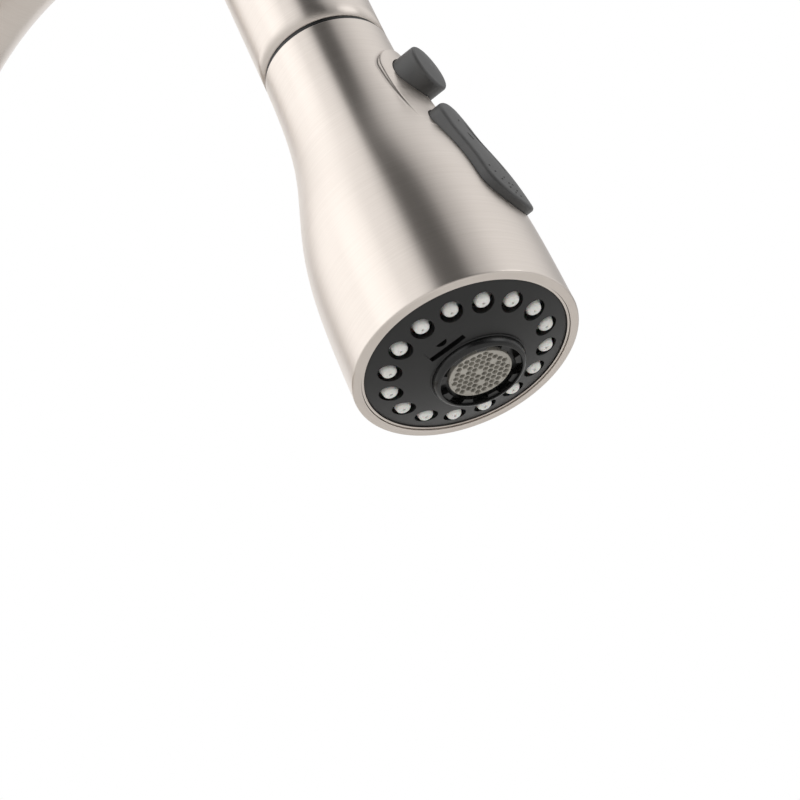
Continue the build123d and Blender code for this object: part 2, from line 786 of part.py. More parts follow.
def mounting_nut():
    nut = ring(nut_r, shank_r + 0.02, nut_low, nut_top)
    for hole in at_ring(2, screw_ring_r, 0, rod(screw_r, nut_low - 1, nut_top + 1)):
        nut -= hole
    for bite in at_ring(6, nut_r + 1.5, 30, rod(5.0, nut_low - 1, nut_top + 1)):
        nut -= bite
    return nut


def clamp_screws():
    screw = rod(screw_r - 0.02, nut_low - 2, nut_top) + rod(4.0, nut_low - 5, nut_low - 2)
    return Compound(at_ring(2, screw_ring_r, 0, screw))


def swivel_bush():
    return ring(swivel_bore_r - 0.02, tube_od / 2 + run_gap, bush_low_z, body_top_z - 0.6)


def spout_seal():
    return ring(swivel_bore_r - 0.02, tube_od / 2 + run_gap, seal_low_z, seal_low_z + spout_seal_len)


# --- valve, in the valve's frame: X up, Y forward, Z outwards ----------------
base_low = seat_y + 0.6
disc_low = base_low + base_thick
moving_low = disc_low + disc_thick + 0.05
moving_high = moving_low + disc_thick
ball_y = valve_pivot_y - ball_drop
socket_high = ball_y + 2.0
rotor_low = socket_high + 0.6
rotor_flange = 1.6
shell_end_low = rotor_low + rotor_flange + 0.1
shell_end_high = shell_end_low + 1.8


def seat_holes():
    """Places of the three water holes, as (up, forward)."""
    return [(port_rise[k] - valve_z, x) for k, (x, y) in port_places().items()]


def cartridge_base():
    base = rod(cavity_r - 0.05, base_low, disc_low)
    for up, forward in seat_holes():
        base -= Pos(up, forward, 0) * rod(drill_r, base_low - 1, disc_low + 1)
        base -= Pos(up, forward, 0) * rod(drill_r + 1.1, base_low - 1, base_low + 0.6)
    return base


def cartridge_seals():
    washer = ring(drill_r + 1.05, drill_r, seat_y, base_low + 0.6)
    return Compound([Pos(up, forward, 0) * washer for up, forward in seat_holes()])


def fixed_disc():
    disc = rod(cavity_r - 2.5, disc_low, disc_low + disc_thick)
    for up, forward in seat_holes():
        disc -= Pos(up, forward, 0) * rod(drill_r - 0.4, disc_low - 1, disc_low + disc_thick + 1)
    return disc


def moving_disc():
    disc = rod(10.4, moving_low, moving_high) + rod(4.4, moving_high - 0.5, socket_high)
    disc -= rod(2.4, ball_y - 2.4, socket_high + 1)
    disc -= Pos(2, 0, 0) * rod(6.5, moving_low - 1, moving_low + 0.9)
    return disc


def cartridge_shell():
    return turned(
        (cavity_r - 2.4, disc_low), (cavity_r - 0.05, disc_low), (cavity_r - 0.05, shell_end_high),
        (neck_r + 0.5, shell_end_high), (neck_r + 0.5, shell_end_low), (cavity_r - 2.4, shell_end_low))


def rotor():
    high = valve_pivot_y + 4.5
    body = rod(cavity_r - 3.0, rotor_low, rotor_low + rotor_flange) + rod(neck_r, rotor_low, high)
    body -= block(-6.2, 8.4, -stem_half - 0.3, stem_half + 0.3, rotor_low - 1, high + 1)
    body -= rod_y(1.5, -20, 20, 0, valve_pivot_y)
    return body


def stem_pin():
    return rod_y(1.5, -neck_r + 0.6, neck_r - 0.6, 0, valve_pivot_y)


def cartridge_nut():
    return ring(cavity_r - 0.02, neck_r + 0.8, shell_end_high, housing_end_y)


def bonnet():
    dome = Pos(0, 0, valve_pivot_y) * (Sphere(dome_r) - Sphere(dome_r - dome_wall))
    dome &= rod(housing_r, housing_end_y + 0.01, valve_pivot_y + dome_r + 1)
    dome += ring(housing_r, dome_r - dome_wall / 2, housing_end_y, housing_end_y + 3)
    dome -= rod(dome_hole_r, valve_pivot_y + 5, valve_pivot_y + dome_r + 1)
    return dome


stem_top = valve_pivot_y + dome_r + 4.0
screw_seat = stem_top + 0.8


def valve_stem():
    """Square stem: its ball end drives the moving disc and its outer end carries the handle."""
    start = ball_y + 3.6
    stem = block(-stem_half, stem_half, -stem_half, stem_half, start + 2.5, stem_top)
    stem += turned((0, ball_y), (1.4, ball_y), (1.4, start), (stem_half, start + 2.5), (0, start + 2.5))
    stem += Pos(0, 0, ball_y) * Sphere(2.2)
    stem -= rod_y(1.5 + run_gap, -20, 20, 0, valve_pivot_y)
    stem -= rod(2.02, stem_top - 11, stem_top + 1)
    return stem


hub_in_r = dome_r + 0.4
hub_rim_y = valve_pivot_y + 9.5


def hub_blank():
    """The handle hub before its inside is cut."""
    out_r = hub_in_r + hub_wall
    rim_out = sqrt(out_r ** 2 - (hub_rim_y - valve_pivot_y) ** 2)
    side = ThreePointArc((rim_out, 0, hub_rim_y), (rim_out * 0.83, 0, hub_rim_y + 8.8), (6.5, 0, hub_top_y))
    rest = Polyline((6.5, 0, hub_top_y), (0, 0, hub_top_y), (0, 0, hub_rim_y), (rim_out, 0, hub_rim_y))
    return revolve(make_face([side, rest]), Axis.Z)


def handle_hub():
    hub = hub_blank() - Pos(0, 0, valve_pivot_y) * Sphere(hub_in_r)
    socket = stem_half + 0.03
    hub -= block(-socket, socket, -socket, socket, hub_rim_y, stem_top + 0.2)
    hub -= rod(2.3, hub_rim_y, hub_top_y + 1)
    hub -= rod(5.2, screw_seat, hub_top_y + 1)
    return hub


def lever():
    bar = Cone(lever_base_r, lever_tip_r, lever_len, align=(Align.CENTER, Align.CENTER, Align.MIN))
    bar += Pos(0, 0, lever_len) * Sphere(lever_tip_r)
    bar = Pos(10, 0, hub_rim_y + 7.0) * Rot(0, -lever_lean, 0) * Rot(0, 90, 0) * bar
    return bar - hub_blank()


def handle_screw():
    return rod(4.4, screw_seat, screw_seat + 2.2) + rod(2.0, stem_top - 10, screw_seat)


def index_cap():
    return rod(5.15, screw_seat + 2.3, hub_top_y + 0.3)


in_head = {
    "head_shell": head_shell, "rim_ring": rim_ring, "face_plate": face_plate,
    "nozzle_pad": nozzle_pad, "spray_plate": spray_plate, "aerator_collar": aerator_collar,
    "aerator_screen": aerator_screen, "aerator_cartridge": aerator_cartridge,
    "aerator_washer": aerator_washer, "valve_body": valve_body, "diverter_spool": diverter_spool,
    "spool_seals": spool_seals, "rocker": rocker, "rocker_pin": rocker_pin,
    "pause_button": pause_button, "pause_stem": pause_stem, "pause_seal": pause_seal,
    "button_spring": button_spring, "check_seat": check_seat, "check_poppet": check_poppet,
    "check_guide": check_guide, "check_spring": check_spring, "dock_collar": dock_collar,
    "keeper_ring": keeper_ring, "hose_nut": hose_nut, "hose_nipple": hose_nipple,
    "hose_ferrule": hose_ferrule, "hose_draw": hose_draw,
}
in_dock = {"dock_sleeve": dock_sleeve, "dock_magnet": dock_magnet}
in_valve = {
    "cartridge_base": cartridge_base, "cartridge_seals": cartridge_seals, "fixed_disc": fixed_disc,
    "moving_disc": moving_disc, "cartridge_shell": cartridge_shell, "rotor": rotor,
    "stem_pin": stem_pin, "cartridge_nut": cartridge_nut, "bonnet": bonnet,
    "valve_stem": valve_stem, "handle_hub": handle_hub, "lever": lever,
    "handle_screw": handle_screw, "index_cap": index_cap,
}
in_place = {
    "spout_tube": spout_tube, "spout_collar": spout_collar, "spout_foot": spout_foot,
    "spray_hose": spray_hose, "hose_tail": hose_tail, "body_casting": body_casting,
    "base_flange": base_flange, "shank": shank, "mounting_nut": mounting_nut,
    "clamp_screws": clamp_screws, "swivel_bush": swivel_bush, "spout_seal": spout_seal,
    "base_gasket": lambda: ring(flange_r - 0.5, shank_r + 1.0, 0, flange_low_z),
    "rubber_washer": lambda: ring(washer_r, shank_r + 0.3, steel_top, washer_top),
    "steel_washer": lambda: ring(washer_r, shank_r + 0.3, nut_top, steel_top),
}

for frame, group in ((head_frame, in_head), (dock_frame, in_dock), (valve_frame, in_valve),
                     (None, in_place)):
    for node, make in group.items():
        shape = make() if frame is None else frame * make()
        export_step(shape, "parts/%s.step" % node)

print("rim centre", [round(v, 2) for v in (rim.X, rim.Y, rim.Z)])
print("seam centre", [round(v, 2) for v in (seam.X, seam.Y, seam.Z)])
print("draw way", [round(v, 5) for v in (draw_way.X, draw_way.Y, draw_way.Z)])
print("button way", [round(v, 5) for v in (button_way.X, button_way.Y, button_way.Z)])
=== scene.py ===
import json
from math import asin, atan2, cos, degrees, exp, hypot, pi, radians, sin, sqrt

import bmesh
import bpy
from bpy.props import FloatProperty, FloatVectorProperty, PointerProperty
from mathutils import Matrix, Vector


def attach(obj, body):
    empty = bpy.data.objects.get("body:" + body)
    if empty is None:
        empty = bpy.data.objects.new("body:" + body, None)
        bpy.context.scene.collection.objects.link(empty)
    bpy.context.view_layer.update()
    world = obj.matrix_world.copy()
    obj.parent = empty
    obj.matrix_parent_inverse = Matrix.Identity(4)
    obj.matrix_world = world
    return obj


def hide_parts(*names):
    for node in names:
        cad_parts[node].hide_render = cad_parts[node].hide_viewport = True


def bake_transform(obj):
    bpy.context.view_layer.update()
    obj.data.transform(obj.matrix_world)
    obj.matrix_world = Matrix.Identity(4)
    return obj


bl_info = {
    "name": "Pull-down kitchen faucet",
    "version": (1, 0, 0),
    "blender": (4, 5, 0),
    "location": "3D View > Sidebar > Faucet",
    "description": "Builds the visible pieces, finishes and studio of a pull-down kitchen faucet",
    "category": "Object",
}

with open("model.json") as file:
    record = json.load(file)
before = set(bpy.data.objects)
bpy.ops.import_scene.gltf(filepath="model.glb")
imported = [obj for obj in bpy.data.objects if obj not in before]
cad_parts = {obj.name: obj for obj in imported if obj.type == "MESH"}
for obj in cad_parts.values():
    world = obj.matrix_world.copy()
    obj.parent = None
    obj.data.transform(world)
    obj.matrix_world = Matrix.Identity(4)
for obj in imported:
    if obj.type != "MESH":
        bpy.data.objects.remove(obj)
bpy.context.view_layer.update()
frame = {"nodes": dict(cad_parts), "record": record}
joints = {j["name"]: j for j in frame["record"]["behaviour"]["joints"]}

# Sizes are in millimetres in the local frames below, and become metres when a mesh is placed.
MM = 0.001

# --- the spray head's own frame: origin in the rim, X to the pause button, Z up to the seam --------
HEAD_LEN = 99.5
SEAM = Vector(joints["head_turn"]["pos_m"])
HEAD_UP = Vector(joints["head_turn"]["axis"]).normalized()
BUTTON_WAY = -Vector(joints["pause_press"]["axis"]).normalized()
SIDE_WAY = HEAD_UP.cross(BUTTON_WAY).normalized()
RIM = SEAM - HEAD_UP * HEAD_LEN * MM


def placed(origin, x_way, y_way, z_way):
    """Matrix from a local frame in millimetres to the row frame in metres."""
    turn = Matrix((x_way, y_way, z_way)).transposed().to_4x4()
    return Matrix.Translation(origin) @ turn @ Matrix.Scale(MM, 4)


HEAD = placed(RIM, BUTTON_WAY, SIDE_WAY, HEAD_UP)
ROW = Matrix.Scale(MM, 4)

# --- sizes shared with the CAD part ---------------------------------------------------------------
TUBE_R = 16.5
TUBE_WALL = 1.5
RISER_LOW, RISER_TOP = 84.7, 290.0
ARCH_R = 78.0
ARCH_TURN = 180.0 - 26.3
TIP_LEN = 39.1
NECK_R, RIM_R = 16.35, 28.0
BELL_MIDDLE, BELL_STEEP = 0.553, 9.56
SHELL_WALL = 2.2
SHELL_TOP = 98.5
FACE_R = 25.05
FACE_EDGE_H, FACE_DOME, FACE_WALL = 0.5, 4.4, 2.2
NOZZLE_COUNT, NOZZLE_RING_R, NOZZLE_PHASE = 16, 19.5, 0.0
NOZZLE_HOLE_R, NOZZLE_TIP_H = 2.78, -1.6
BOSS_SHIFT, BOSS_TURN, BOSS_R, BOSS_END_H = 2.6, 83.0, 11.5, -5.3
BOSS_LIP, BOSS_ROUND, SEAT_H, SEAT_EDGE = 1.4, 1.9, -3.45, 0.4
SCREEN_R, SCREEN_LOW, SCREEN_THICK = 7.75, -4.4, 1.5
CELL_PITCH, CELL_WALL, CELL_TURN = 1.6, 0.36, 18.5
SLOT_LEN, SLOT_WIDE, SLOT_DEEP, SLOT_R, SLOT_TURN = 9.7, 3.5, 0.25, 13.4, -88.5
SLIT_WIDE, SLIT_DEEP, THUMB_R = 1.2, 1.6, 1.5
ROCKER_TOP, ROCKER_LOW, ROCKER_TOP_R, ROCKER_LOW_R = 63.8, 24.6, 6.8, 8.7
ROCKER_DEPTH = 2.6
PROUD_TOP, PROUD_LOW = 4.0, 2.2
RISE_AT, RISE_STEEP = 0.8, 12.0
BUTTON_H, BUTTON_HOLE_R = 77.3, 6.75
LAND_R, LAND_H = 8.9, 78.8
LAND_LOW_R, LAND_LOW_H = 9.9, 57.0
HOSE_R = 5.75


def bell_r(h):
    share = 1 / (1 + exp(BELL_STEEP * (h / HEAD_LEN - BELL_MIDDLE)))
    return NECK_R + (RIM_R - NECK_R) * share


def proud_at(h):
    share = (h - ROCKER_LOW) / (ROCKER_TOP - ROCKER_LOW)
    return PROUD_LOW + (PROUD_TOP - PROUD_LOW) / (1 + exp(RISE_STEEP * (RISE_AT - share)))


def face_height(r):
    return FACE_EDGE_H - FACE_DOME * (1 - (r / FACE_R) ** 2)


# --- colours and finishes --------------------------------------------------------------------------
def srgb(code, alpha=1.0):
    """An sRGB hex colour as the linear values that Blender stores."""
    parts = [int(code[i:i + 2], 16) / 255 for i in (1, 3, 5)]
    linear = [c / 12.92 if c <= 0.04045 else ((c + 0.055) / 1.055) ** 2.4 for c in parts]
    return (*linear, alpha)


def add(tree, kind, inputs=None, **settings):
    """Adds a shader node, with its settings, its values and the sockets that feed it."""
    made = tree.nodes.new("ShaderNode" + kind)
    for key, value in settings.items():
        setattr(made, key, value)
    for key, value in (inputs or {}).items():
        if isinstance(value, bpy.types.NodeSocket):
            tree.links.new(value, made.inputs[key])
        else:
            made.inputs[key].default_value = value
    return made


def new_finish(name):
    """An empty material, its tree and its output."""
    made = bpy.data.materials.new(name)
    made.use_nodes = True
    tree = made.node_tree
    tree.nodes.clear()
    return made, tree


def close_finish(tree, shader):
    add(tree, "OutputMaterial", {"Surface": shader.outputs[0]})


def ramp(tree, factor, *stops):
    """A colour ramp through (position, colour) stops."""
    made = add(tree, "ValToRGB", {"Fac": factor})
    points = made.color_ramp.elements
    while len(points) < len(stops):
        points.new(0.5)
    for point, (place, colour) in zip(points, stops):
        point.position = place
        point.color = colour
    return made.outputs["Color"]


def head_coordinates(tree):
    """Object coordinates turned into the spray head's frame, in metres."""
    here = add(tree, "TexCoord").outputs["Object"]
    return add(tree, "Mapping", {"Vector": here, "Location": RIM, "Rotation": HEAD.to_euler()},
               vector_type="TEXTURE").outputs["Vector"]


def brushed_nickel(name, coordinates, tangent, anisotropy, turn=0.0):
    """Brushed nickel plating: fine scratches run round the piece, so light stretches along it.

    The scratches are about 0.05 mm wide on the real one and are drawn 0.13 mm wide, so that they show.
    """
    made, tree = new_finish(name)
    where = coordinates(tree)
    fine = add(tree, "Mapping", {"Vector": where, "Scale": (40, 40, 7500)}).outputs["Vector"]
    scratch = add(tree, "TexNoise", {"Vector": fine, "Scale": 1.0, "Detail": 3.0, "Roughness": 0.6})
    broad = add(tree, "Mapping", {"Vector": where, "Scale": (18, 18, 2200)}).outputs["Vector"]
    band = add(tree, "TexNoise", {"Vector": broad, "Scale": 1.0, "Detail": 2.0})
    mixed = add(tree, "Mix", {"Factor": 0.3, "A": scratch.outputs["Fac"], "B": band.outputs["Fac"]})
    tone = ramp(tree, mixed.outputs["Result"], (0.25, srgb("#CFC6BE")), (0.75, srgb("#DDD5CE")))
    rough = add(tree, "MapRange", {"Value": mixed.outputs["Result"], "From Min": 0.2, "From Max": 0.8,
                                   "To Min": 0.28, "To Max": 0.35})
    bump = add(tree, "Bump", {"Height": scratch.outputs["Fac"], "Strength": 0.07, "Distance": 0.00002})
    shader = add(tree, "BsdfPrincipled", {
        "Base Color": tone, "Metallic": 1.0, "Roughness": rough.outputs["Result"],
        "Anisotropic": anisotropy, "Anisotropic Rotation": turn, "Normal": bump.outputs["Normal"]})
    if tangent:
        line = add(tree, "Tangent", **tangent)
        tree.links.new(line.outputs["Tangent"], shader.inputs["Tangent"])
    close_finish(tree, shader)
    return made


def moulded(name, dark, light, roughness, grain_mm, bump_mm, **shading):
    """A moulded, cast or turned material: mottled colour and a fine surface grain."""
    made, tree = new_finish(name)
    here = add(tree, "TexCoord").outputs["Object"]
    grain = add(tree, "TexNoise", {"Vector": here, "Scale": 1 / (grain_mm * MM), "Detail": 4.0})
    cloud = add(tree, "TexNoise", {"Vector": here, "Scale": 140.0, "Detail": 2.0})
    both = add(tree, "Mix", {"Factor": 0.5, "A": grain.outputs["Fac"], "B": cloud.outputs["Fac"]})
    tone = ramp(tree, both.outputs["Result"], (0.3, srgb(dark)), (0.7, srgb(light)))
    rough = add(tree, "MapRange", {"Value": grain.outputs["Fac"], "From Min": 0.3, "From Max": 0.7,
                                   "To Min": roughness - 0.04, "To Max": roughness + 0.04})
    bump = add(tree, "Bump", {"Height": grain.outputs["Fac"], "Strength": 0.5, "Distance": bump_mm * MM})
    values = {"Base Color": tone, "Roughness": rough.outputs["Result"], "Normal": bump.outputs["Normal"]}
    for key, value in shading.items():
        values[key.replace("_", " ").title().replace("Ior", "IOR")] = value
    close_finish(tree, add(tree, "BsdfPrincipled", values))
    return made


def braided_nylon():
    """Nylon braid over the hose: two sets of 1.2 mm bundles that cross at a slant."""
    made, tree = new_finish("braided nylon")
    uv = add(tree, "UVMap", uv_map="braid").outputs["UV"]
    bundles = []
    for turn in (1, -1):
        slant = add(tree, "Mapping", {"Vector": uv, "Rotation": (0, 0, radians(45 * turn))})
        wave = add(tree, "TexWave", {"Vector": slant.outputs["Vector"], "Scale": 0.42, "Distortion": 0.4},
                   wave_type="BANDS", bands_direction="X")
        bundles.append(wave.outputs["Fac"])
    over = add(tree, "TexChecker", {"Vector": uv, "Scale": 0.84})
    weave = add(tree, "Mix", {"Factor": over.outputs["Fac"], "A": bundles[0], "B": bundles[1]})
    tone = ramp(tree, weave.outputs["Result"], (0.1, srgb("#1B1B1D")), (0.9, srgb("#55555A")))
    bump = add(tree, "Bump", {"Height": weave.outputs["Result"], "Strength": 0.8, "Distance": 0.0003})
    close_finish(tree, add(tree, "BsdfPrincipled", {
        "Base Color": tone, "Roughness": 0.55, "Normal": bump.outputs["Normal"]}))
    return made


def row_coordinates(tree):
    return add(tree, "TexCoord").outputs["Object"]


def valve_coordinates(tree):
    """Object coordinates with Z along the valve's axis."""
    here = add(tree, "TexCoord").outputs["Object"]
    return add(tree, "Mapping", {"Vector": here, "Rotation": (radians(90), 0, 0)}).outputs["Vector"]


def tube_coordinates(tree):
    """The spout's own map: around it in X, along it in Z, in metres."""
    uv = add(tree, "UVMap", uv_map="brush").outputs["UV"]
    split = add(tree, "SeparateXYZ", {"Vector": uv})
    turn = add(tree, "Math", {0: split.outputs["Y"], 1: 2 * pi}, operation="MULTIPLY").outputs[0]
    x = add(tree, "Math", {0: turn}, operation="COSINE").outputs[0]
    y = add(tree, "Math", {0: turn}, operation="SINE").outputs[0]
    joined = add(tree, "CombineXYZ", {"X": x, "Y": y, "Z": split.outputs["X"]}).outputs["Vector"]
    return add(tree, "VectorMath", {0: joined, 1: (TUBE_R * MM, TUBE_R * MM, 1)},
               operation="MULTIPLY").outputs["Vector"]


finishes = {}


def make_finishes():
    along = {"direction_type": "UV_MAP", "uv_map": "brush"}
    upright = {"direction_type": "RADIAL", "axis": "Z"}
    across = {"direction_type": "RADIAL", "axis": "Y"}
    finishes.update(
        nickel_head=brushed_nickel("brushed nickel, head", head_coordinates, along, 0.86),
        nickel_plain=brushed_nickel("brushed nickel, rim", head_coordinates, None, 0.0),
        nickel_spout=brushed_nickel("brushed nickel, spout", tube_coordinates, along, 0.86),
        nickel_body=brushed_nickel("brushed nickel, body", row_coordinates, upright, 0.7, 0.25),
        nickel_valve=brushed_nickel("brushed nickel, valve", valve_coordinates, across, 0.7, 0.25),
        # Matte moulded ABS: eroded mould surface, no gloss.
        black_abs=moulded("matte black ABS", "#3A3A3A", "#484746", 0.46, 0.25, 0.012, ior=1.58),
        # Satin black acetal of the face plate and the aerator's collar.
        black_acetal=moulded("satin black acetal", "#0F0F0F", "#161616", 0.38, 0.35, 0.008, ior=1.48),
        # The same acetal from a polished mould: the aerator's boss.
        gloss_acetal=moulded("polished black acetal", "#0E0E0E", "#141414", 0.22, 0.5, 0.003, ior=1.48),
        # Soft silicone of the nozzles: slightly glossy and a little translucent.
        white_silicone=moulded("white silicone", "#DCDCD8", "#F0F0EC", 0.30, 0.6, 0.004, ior=1.43,
                               subsurface_weight=0.12, subsurface_scale=0.001),
        grey_acetal=moulded("light grey acetal", "#9C9890", "#B5B1A8", 0.45, 0.3, 0.006, ior=1.48),
        natural_acetal=moulded("natural acetal", "#DAD6CA", "#E8E5DB", 0.42, 0.4, 0.006, ior=1.48),
        brass=moulded("turned brass", "#B08F4C", "#CDAE6A", 0.28, 0.15, 0.006, metallic=1.0),
        steel=moulded("stainless steel", "#9FA0A1", "#C3C3C4", 0.30, 0.15, 0.006, metallic=1.0),
        rubber=moulded("EPDM rubber", "#141414", "#1F1F1F", 0.68, 0.3, 0.01, ior=1.52),
        ceramic=moulded("lapped alumina", "#E3E1DA", "#F0EEE8", 0.16, 0.5, 0.002, ior=1.76),
        magnet=moulded("bonded ferrite", "#2C2B2B", "#3D3B3A", 0.55, 0.2, 0.01, metallic=0.4),
        braid=braided_nylon(),
    )


SLOT_FINISH = {
    "nickel": "nickel_body", "black_plastic": "black_abs", "white_silicone": "white_silicone",
    "grey_plastic": "grey_acetal", "natural_plastic": "natural_acetal", "brass": "brass",
    "steel": "steel", "rubber": "rubber", "ceramic": "ceramic", "hose_braid": "rubber",
    "magnet": "magnet",
}
NODE_FINISH = {
    "face_plate": "black_acetal", "aerator_collar": "black_acetal", "dock_collar": "black_acetal",
    "aerator_cartridge": "black_acetal",
    "keeper_ring": "black_acetal", "rim_ring": "nickel_plain", "head_shell": "nickel_plain",
    "bonnet": "nickel_valve", "handle_hub": "nickel_valve", "index_cap": "nickel_valve",
    "spout_tube": "nickel_body", "lever": "nickel_body",
}


def dress_cad_nodes():
    """Gives every CAD node that stays the finish of its record slot."""
    slots = {s["node"]: s["material_slot"] for s in frame["record"]["subparts"]}
    for name, body in frame["nodes"].items():
        finish = finishes[NODE_FINISH.get(name, SLOT_FINISH[slots[name]])]
        for place in body.material_slots:
            place.material = finish


# --- mesh helpers -----------------------------------------------------------------------------------
def spun(bm, profile, steps=128, start=0.0, turn=360.0):
    """Spins an open or closed (radius, height) outline about Z."""
    corners = [bm.verts.new((r * cos(radians(start)), r * sin(radians(start)), h)) for r, h in profile]
    lines = [bm.edges.new(pair) for pair in zip(corners, corners[1:])]
    whole = abs(turn - 360.0) < 1e-6
    return bmesh.ops.spin(bm, geom=corners + lines, axis=(0, 0, 1), cent=(0, 0, 0), angle=radians(turn),
                          steps=steps, use_merge=whole)["geom_last"]


def ringed(bm, rings):
    """Skins closed rings of points one after another, each extruded from the last, and fills both ends."""
    count = len(rings[0])
    loop = bmesh.ops.create_circle(bm, segments=count, radius=1.0)["verts"]
    edges = list({e for v in loop for e in v.link_edges})
    for vert, place in zip(loop, rings[0]):
        vert.co = place
    bottom = edges
    for ring in rings[1:]:
        made = bmesh.ops.extrude_edge_only(bm, edges=edges)["geom"]
        fresh = {g for g in made if isinstance(g, bmesh.types.BMVert)}
        edges = [g for g in made if isinstance(g, bmesh.types.BMEdge) and all(v in fresh for v in g.verts)]
        above = {}
        for vert in fresh:
            for edge in vert.link_edges:
                above[edge.other_vert(vert)] = vert
        loop = [above[v] for v in loop]
        for vert, place in zip(loop, ring):
            vert.co = place
    for end in (bottom, edges):
        bmesh.ops.contextual_create(bm, geom=end)


def tidy(bm, merge=0.0005):
    bmesh.ops.remove_doubles(bm, verts=bm.verts, dist=merge)
    bmesh.ops.recalc_face_normals(bm, faces=bm.faces)


def brush_map(bm, where):
    """A map with U along the piece and V round it, both worked out by where()."""
    layer = bm.loops.layers.uv.new("brush")
    for face in bm.faces:
        points = [where(loop.vert.co) for loop in face.loops]
        low = min(v for u, v in points)
        for loop, (u, v) in zip(face.loops, points):
            wrapped = v + 1 if v < 0.25 and max(p[1] for p in points) > 0.75 and low < 0.25 else v
            loop[layer].uv = (u, wrapped)


def round_z(co):
    """Along and round the Z axis of a local frame."""
    return co.z * MM, atan2(co.y, co.x) / (2 * pi) % 1.0


def piece(name, bm, matrix, finish, body, replaces=(), sharp=35.0, where=None):
    """Finishes a mesh: placed in the row frame, smooth, with its material, riding on its body."""
    if where:
        brush_map(bm, where)
    mesh = bpy.data.meshes.new(name)
    bm.transform(matrix)
    bm.to_mesh(mesh)
    bm.free()
    mesh.shade_smooth()
    mesh.set_sharp_from_angle(angle=radians(sharp))
    mesh.materials.append(finishes[finish])
    made = bpy.data.objects.new(name, mesh)
    bpy.context.scene.collection.objects.link(made)
    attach(made, body)
    if replaces:
        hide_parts(*replaces)
    return made


def cut(made, cutter_bm, matrix, operation="DIFFERENCE"):
    """Takes a closed mesh away from a piece, or joins it on, and applies the result."""
    mesh = bpy.data.meshes.new("cutter")
    cutter_bm.transform(matrix)
    cutter_bm.to_mesh(mesh)
    cutter_bm.free()
    tool = bpy.data.objects.new("cutter", mesh)
    bpy.context.scene.collection.objects.link(tool)
    change = made.modifiers.new("cut", "BOOLEAN")
    change.operation = operation
    change.solver = "EXACT"
    change.object = tool
    bpy.context.view_layer.update()
    graph = bpy.context.evaluated_depsgraph_get()
    result = bpy.data.meshes.new_from_object(made.evaluated_get(graph))
    made.modifiers.clear()
    old = made.data
    made.data = result
    bpy.data.meshes.remove(old)
    bpy.data.objects.remove(tool)
    bpy.data.meshes.remove(mesh)


def arc(x, y, radius, start, end, count):
    """Points of an arc in a profile, as (radius, height)."""
    turns = [radians(start + (end - start) * i / (count - 1)) for i in range(count)]
    return [(x + radius * cos(a), y + radius * sin(a)) for a in turns]


def evenly(low, high, count):
    return [low + (high - low) * i / (count - 1) for i in range(count)]


# --- spray head -------------------------------------------------------------------------------------
def rocker_outline(grow):
    """The rocker's outline as (side, height) points, anticlockwise: two round ends and straight sides."""
    top_mid, low_mid = ROCKER_TOP - ROCKER_TOP_R, ROCKER_LOW + ROCKER_LOW_R
    slant = degrees(asin((ROCKER_LOW_R - ROCKER_TOP_R) / (top_mid - low_mid)))
    points = arc(0, top_mid, ROCKER_TOP_R + grow, slant, 180 - slant, 41)
    points += arc(0, low_mid, ROCKER_LOW_R + grow, 180 - slant, 360 + slant, 57)
    sides = []
    for (x0, y0), (x1, y1) in zip(points, points[1:] + points[:1]):
        parts = max(1, round(hypot(x1 - x0, y1 - y0) / 0.9))
        sides += [(x0 + (x1 - x0) * i / parts, y0 + (y1 - y0) * i / parts) for i in range(parts)]
    return sides


def shell_tools():
    """Cutter for the rocker's opening and the button's hole in the head's shell."""
    bm = bmesh.new()
    outline = rocker_outline(0.3)
    ringed(bm, [[(x, y, h) for y, h in outline] for x in (2.0, 45.0)])
    hole = arc(0, BUTTON_H, BUTTON_HOLE_R, 0, 360 - 5, 72)
    ringed(bm, [[(x, y, h) for y, h in hole] for x in (2.0, 45.0)])
    bmesh.ops.recalc_face_normals(bm, faces=bm.faces)
    return bm


def make_shell():
    """The nickel-plated bell of the spray head."""
    bm = bmesh.new()
    edge = 0.55
    outer = [(bell_r(h), h) for h in evenly(SHELL_TOP - 0.3, edge, 120)]
    rim = arc(RIM_R - 0.02 - edge, edge, edge, 0, -90, 7)
    inside = [(RIM_R - SHELL_WALL - 0.02, 0.0)]
    inside += [(bell_r(h) - SHELL_WALL, h) for h in evenly(0.4, SHELL_TOP, 40)]
    top = [(bell_r(SHELL_TOP) - 0.3, SHELL_TOP)]
    outline = outer + rim + inside + top
    spun(bm, outline + outline[:1], steps=200)
    tidy(bm)
    made = piece("head_bell", bm, HEAD, "nickel_head", "spray_head", ["head_shell"], where=round_z)
    cut(made, shell_tools(), HEAD)
    return made


def between(table, at):
    """Straight-line value of a (place, value) table."""
    for (p0, v0), (p1, v1) in zip(table, table[1:]):
        if at <= p1:
            return v0 + (v1 - v0) * max(0.0, (at - p0) / (p1 - p0))
    return table[-1][1]


# How far the land stands out of the bell at a height: along its middle, and along its sides.
LAND_MIDDLE = ((58.0, 0.05), (62.0, 0.2), (66.0, 0.6), (70.0, 0.95), (74.0, 1.3), (78.0, 1.4), (84.0, 1.25),
               (90.0, 1.0))
LAND_SIDE = ((57.0, 0.05), (66.0, 0.35), (74.0, 0.6), (80.0, 0.75), (90.0, 0.75))


def land_proud(side_at, h):
    """How far the land stands out of the bell."""
    edge = between(LAND_SIDE, h)
    return edge + (between(LAND_MIDDLE, h) - edge) * max(0.0, 1 - (side_at / LAND_R) ** 2)


def land_point(side_at, h, share):
    """A point between the bell, at share 0, and the top of the land, at share 1."""
    reach = bell_r(h) + share * land_proud(side_at, h)
    return (sqrt(reach ** 2 - side_at ** 2), side_at, h)


